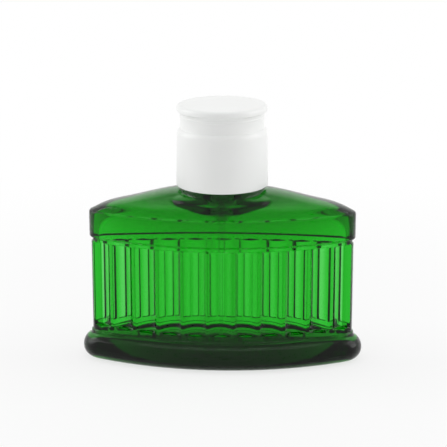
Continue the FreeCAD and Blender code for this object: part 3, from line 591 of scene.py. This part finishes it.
collar = {
    "steps": 160,
    "profile": [(8.14, 65.72), (11.7, 65.72), (11.86, 65.76), (11.96, 65.86), (12.0, 66.02), (12.0, 66.85),
                (11.94, 67.06), (11.8, 67.16), (11.6, 67.2), (10.35, 67.2), (10.16, 67.25), (10.05, 67.36),
                (10.0, 67.55), (10.0, 80.05), (9.96, 80.24), (9.87, 80.4), (9.72, 80.52), (9.5, 80.58),
                (7.65, 80.58), (7.46, 80.54), (7.36, 80.44), (7.32, 80.28), (7.32, 74.42), (8.14, 74.42)],
}
collarSleeve = spinPiece("collar", collar["profile"], collar["steps"])
collarFinish = workedMetal("anodised_collar_aluminium", "CBCDCE", "D6D8D9", 0.24, 0.5, (1, 1, 30))
collarSleeve.data.materials.append(collarFinish)
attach(collarSleeve, "bottle")
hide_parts("collar_sleeve")
print("collar:", len(collarSleeve.data.polygons), "faces")

button = {
    "steps": 144,
    "profile": [(5.72, 79.82), (6.62, 79.82), (6.78, 79.87), (6.87, 79.98), (6.9, 80.14), (6.9, 87.95),
                (6.86, 88.25), (6.75, 88.5), (6.58, 88.7), (6.35, 88.83), (6.05, 88.89), (5.75, 88.88),
                (5.45, 88.82), (4.6, 88.64), (3.4, 88.47), (1.8, 88.37), (0.0, 88.34), (0.0, 84.8),
                (1.62, 84.8), (1.62, 82.0), (1.8, 81.82), (2.62, 81.82), (2.8, 82.0), (2.8, 83.2),
                (5.7, 83.2), (5.7, 80.0)],
    "nozzleHeight": 85.7,
    "nozzleRadius": 1.9,
    "nozzleBack": -3.65,
    "drillFrom": -9.0,
    "leadIn": {"wider": 0.6, "narrower": 0.3, "depth": 0.9, "middle": -6.85},
}


def boreNozzle(piece):
    # the hole for the nozzle, cut from the front with a small lead-in
    rim, back, height = button["nozzleRadius"], button["nozzleBack"], button["nozzleHeight"]
    depth = back - button["drillFrom"]
    leadIn = button["leadIn"]
    bpy.ops.object.select_all(action="DESELECT")
    bpy.ops.mesh.primitive_cylinder_add(vertices=64, radius=rim * mm, depth=depth * mm,
                                        rotation=(math.pi / 2, 0, 0),
                                        location=(0, (back - depth / 2) * mm, height * mm))
    drill = bpy.context.object
    bpy.ops.mesh.primitive_cone_add(vertices=64, radius1=(rim + leadIn["wider"]) * mm,
                                    radius2=(rim - leadIn["narrower"]) * mm, depth=leadIn["depth"] * mm,
                                    rotation=(-math.pi / 2, 0, 0),
                                    location=(0, leadIn["middle"] * mm, height * mm))
    sink = bpy.context.object
    for tool in (drill, sink):
        bite = piece.modifiers.new("bite", "BOOLEAN")
        bite.operation = "DIFFERENCE"
        bite.solver = "EXACT"
        bite.object = tool
        bpy.context.view_layer.objects.active = piece
        bpy.ops.object.modifier_apply(modifier=bite.name)
    for tool in (drill, sink):
        bpy.data.objects.remove(tool)
    bpy.context.view_layer.objects.active = piece
    piece.select_set(True)
    bpy.ops.object.shade_smooth_by_angle(angle=spunAngle)


pressButton = spinPiece("press_button", button["profile"], button["steps"])
boreNozzle(pressButton)
pressButton.data.materials.append(mouldedPlastic("moulded_button_polypropylene", "EDEEEC", "F3F4F2", 0.3))
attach(pressButton, "button")
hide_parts("actuator_button")
print("button:", len(pressButton.data.polygons), "faces")

nozzle = {
    "steps": 72,
    "front": -6.65,
    "length": 3.0,
    "profile": [(0.0, 0.0), (1.88, 0.0), (1.88, 2.86), (1.84, 2.94), (1.75, 3.0), (1.2, 3.0), (1.12, 2.97),
                (1.07, 2.9), (0.85, 2.55), (0.6, 2.44), (0.3, 2.41), (0.21, 2.38), (0.2, 2.3), (0.2, 1.2),
                (0.0, 1.2)],
}
nozzleCup = spinPiece("nozzle", nozzle["profile"], nozzle["steps"])
nozzleCup.rotation_euler = (math.pi / 2, 0, 0)
nozzleCup.location = (0, (nozzle["front"] + nozzle["length"]) * mm, button["nozzleHeight"] * mm)
bpy.ops.object.transform_apply(location=True, rotation=True)
nozzleCup.data.materials.append(mouldedPlastic("moulded_nozzle_acetal", "E4E6E5", "ECEEED", 0.26))
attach(nozzleCup, "button")
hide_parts("nozzle_insert")
print("nozzle:", len(nozzleCup.data.polygons), "faces")

stepsPerTurn = 40
wireAngle = math.radians(50)  # edges sharper than this stay sharp
springs = {
    "pump_spring": {"node": "main_spring", "body": "bottle", "wire": 0.5, "radius": 2.45, "bottom": 58.06,
                    "top": 65.84, "turns": 4.0, "anchor": 58.05, "keep": 0.36},
    "fine_spring": {"node": "precompression_spring", "body": "stem", "wire": 0.3, "radius": 2.1,
                    "bottom": 68.76, "top": 71.24, "turns": 2.75, "anchor": 71.25, "keep": 0.8},
}


def windSpring(name, coil):
    # a round wire section is screwed up about the axis, and its two ends are closed
    bpy.ops.object.select_all(action="DESELECT")
    low = coil["bottom"] + coil["wire"] / 2
    bpy.ops.mesh.primitive_circle_add(vertices=16, radius=coil["wire"] / 2 * mm, fill_type="NOTHING",
                                      location=(coil["radius"] * mm, 0, low * mm),
                                      rotation=(math.pi / 2, 0, 0))
    wire = bpy.context.object
    wire.name = wire.data.name = name
    bpy.ops.object.transform_apply(location=True, rotation=True)
    wind = wire.modifiers.new("wind", "SCREW")
    wind.axis = "Z"
    wind.angle = 2 * math.pi * coil["turns"]
    wind.screw_offset = (coil["top"] - coil["bottom"] - coil["wire"]) * mm
    wind.steps = wind.render_steps = int(stepsPerTurn * coil["turns"])
    wind.use_merge_vertices = False
    bpy.ops.object.modifier_apply(modifier=wind.name)
    bpy.ops.object.mode_set(mode="EDIT")
    bpy.ops.mesh.select_all(action="SELECT")
    bpy.ops.mesh.fill_holes(sides=0)
    bpy.ops.mesh.select_all(action="SELECT")
    bpy.ops.mesh.normals_make_consistent(inside=False)
    bpy.ops.object.mode_set(mode="OBJECT")
    bpy.ops.object.shade_smooth_by_angle(angle=wireAngle)
    return wire


springSteel = workedMetal("drawn_spring_steel", "A9ABAD", "BABCBE", 0.22, 0.1, (1, 1, 6))
for name, coil in springs.items():
    spring = windSpring(name, coil)
    spring.data.materials.append(springSteel)
    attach(spring, coil["body"])
    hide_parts(coil["node"])
    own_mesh(spring)
    print(name + ":", len(spring.data.polygons), "faces")

# pieces whose CAD shape is right keep it and get their finish
finishes = {
    "dip_tube": clearPlastic("extruded_clear_polyethylene", 1.1, 0.08, 1.0),
    "pump_housing": clearPlastic("moulded_natural_polypropylene", 1.1, 0.2, 0.85),
    "neck_gasket": mouldedRubber("moulded_neck_rubber", "1E1E1F", "2A2A2B"),
    "stem_gasket": mouldedRubber("moulded_stem_rubber", "232324", "2E2E2F"),
    "inlet_ball": workedMetal("ground_ball_steel", "BFC1C3", "CBCDCF", 0.1, 0.2, (1, 1, 1)),
    "pump_stem": mouldedPlastic("moulded_stem_polypropylene", "E9EAE6", "F0F1ED", 0.34),
    "pump_piston": mouldedPlastic("moulded_piston_polyethylene", "DDE3E6", "E6ECEE", 0.4),
    "pump_turret": mouldedPlastic("moulded_turret_polypropylene", "E9EAE6", "F0F1ED", 0.34),
    "crimp_ferrule": workedMetal("drawn_ferrule_aluminium", "C6C8C9", "D2D4D5", 0.3, 0.4, (1, 1, 0.1)),
    "overcap_liner": mouldedPlastic("moulded_liner_polypropylene", "ECEDEA", "F2F3F1", 0.36),
}
for name, finish in finishes.items():
    for place in nodes[name].material_slots:
        place.material = finish
print("finishes:", len(finishes))

stage = {
    "floorRadius": 3.0,
    "floorDrop": 0.0002,
    "nearWhite": 0.72,  # share of white glow in the floor near the object
    "fadeFrom": 0.1,  # metres from the middle
    "fadeTo": 0.3,
    "ambient": 0.63,
    "bounces": 24,
    "aim": (0, 0, 0.05),
}
lamps = {
    "left_softbox": {"place": (-0.7, 0.05, 0.4), "size": (0.5, 0.6), "power": 2.05},
    "right_softbox": {"place": (0.7, 0.05, 0.4), "size": (0.5, 0.6), "power": 2.05},
    "top_softbox": {"place": (0.0, 0.05, 0.8), "size": (0.7, 0.5), "power": 0.5},
}


def showsBackdrop(tree):
    # one for rays that show the backdrop: seen by the camera, mirrored, or through glass
    rays = addNode(tree, "ShaderNodeLightPath").outputs
    bent = addNode(tree, "ShaderNodeMath", {"operation": "MAXIMUM"},
                   {0: rays["Is Glossy Ray"], 1: rays["Is Transmission Ray"]})
    seen = addNode(tree, "ShaderNodeMath", {"operation": "MAXIMUM"},
                   {0: rays["Is Camera Ray"], 1: bent.outputs[0]})
    return seen.outputs[0]


def makeStage():
    world = bpy.data.worlds.new("studio")
    bpy.context.scene.world = world
    world.use_nodes = True
    tree = world.node_tree
    tree.nodes.clear()
    level = addNode(tree, "ShaderNodeMapRange", {"To Min": stage["ambient"], "To Max": 1.0},
                    {"Value": showsBackdrop(tree)})
    shade = addNode(tree, "ShaderNodeBackground", {"Color": colour("FFFFFF")},
                    {"Strength": level.outputs["Result"]})
    addNode(tree, "ShaderNodeOutputWorld", links={"Surface": shade.outputs["Background"]})

    bpy.ops.object.select_all(action="DESELECT")
    bpy.ops.mesh.primitive_circle_add(vertices=128, radius=stage["floorRadius"], fill_type="NGON",
                                      location=(0, 0, -stage["floorDrop"]))
    floor = bpy.context.object
    floor.name = "floor"
    bpy.ops.object.transform_apply(location=True)
    material, tree, shader, out, place = newMaterial("pale_studio_floor", {
        "Base Color": colour("F6F6F6"),
        "Roughness": 0.9,
        "Specular IOR Level": 0.0,
    })
    # far from the object the floor runs into the white backdrop
    away = addNode(tree, "ShaderNodeVectorMath", {"operation": "LENGTH"}, {0: place})
    fade = addNode(tree, "ShaderNodeMapRange", {
        "From Min": stage["fadeFrom"],
        "From Max": stage["fadeTo"],
        "To Min": stage["nearWhite"],
        "To Max": 1.0,
        "interpolation_type": "SMOOTHSTEP",
    }, {"Value": away.outputs["Value"]})
    both = addNode(tree, "ShaderNodeMath", {"operation": "MULTIPLY"},
                   {0: fade.outputs["Result"], 1: showsBackdrop(tree)})
    glow = addNode(tree, "ShaderNodeEmission", {"Color": colour("FFFFFF"), "Strength": 1.0})
    mix = addNode(tree, "ShaderNodeMixShader", links={"Fac": both.outputs[0], 1: shader.outputs["BSDF"],
                                                      2: glow.outputs["Emission"]})
    tree.links.new(mix.outputs["Shader"], out.inputs["Surface"])
    floor.data.materials.append(material)


def addLamp(name, place, size, power):
    lamp = bpy.data.lights.new(name, "AREA")
    lamp.shape = "RECTANGLE"
    lamp.size, lamp.size_y = size
    lamp.energy = power
    holder = bpy.data.objects.new(name, lamp)
    holder.location = place
    holder.rotation_euler = (Vector(stage["aim"]) - Vector(place)).to_track_quat("-Z", "Y").to_euler()
    bpy.context.collection.objects.link(holder)


view = {
    "azimuth": 2.39,
    "elevation": 15.12,
    "distance": 0.6219,
    "lens": 136.9,
    "sensor": 36,
    "clip": (0.01, 20),
    "target": (0.000472, 0.00002, 0.05103),
}


def makeCamera():
    camera = bpy.data.cameras.new("camera")
    camera.sensor_width = view["sensor"]
    camera.lens = view["lens"]
    camera.clip_start, camera.clip_end = view["clip"]
    holder = bpy.data.objects.new("camera", camera)
    bpy.context.collection.objects.link(holder)
    turn, lift = math.radians(view["azimuth"]), math.radians(view["elevation"])
    back = Vector((math.sin(turn) * math.cos(lift), -math.cos(turn) * math.cos(lift), math.sin(lift)))
    holder.location = Vector(view["target"]) + back * view["distance"]
    holder.rotation_euler = (-back).to_track_quat("-Z", "Y").to_euler()
    bpy.context.scene.camera = holder


makeStage()
for name, lamp in lamps.items():
    addLamp(name, lamp["place"], lamp["size"], lamp["power"])
makeCamera()
scene = bpy.context.scene
scene.view_settings.view_transform = "Standard"
scene.cycles.max_bounces = stage["bounces"]
scene.cycles.transmission_bounces = stage["bounces"]
print("stage set")
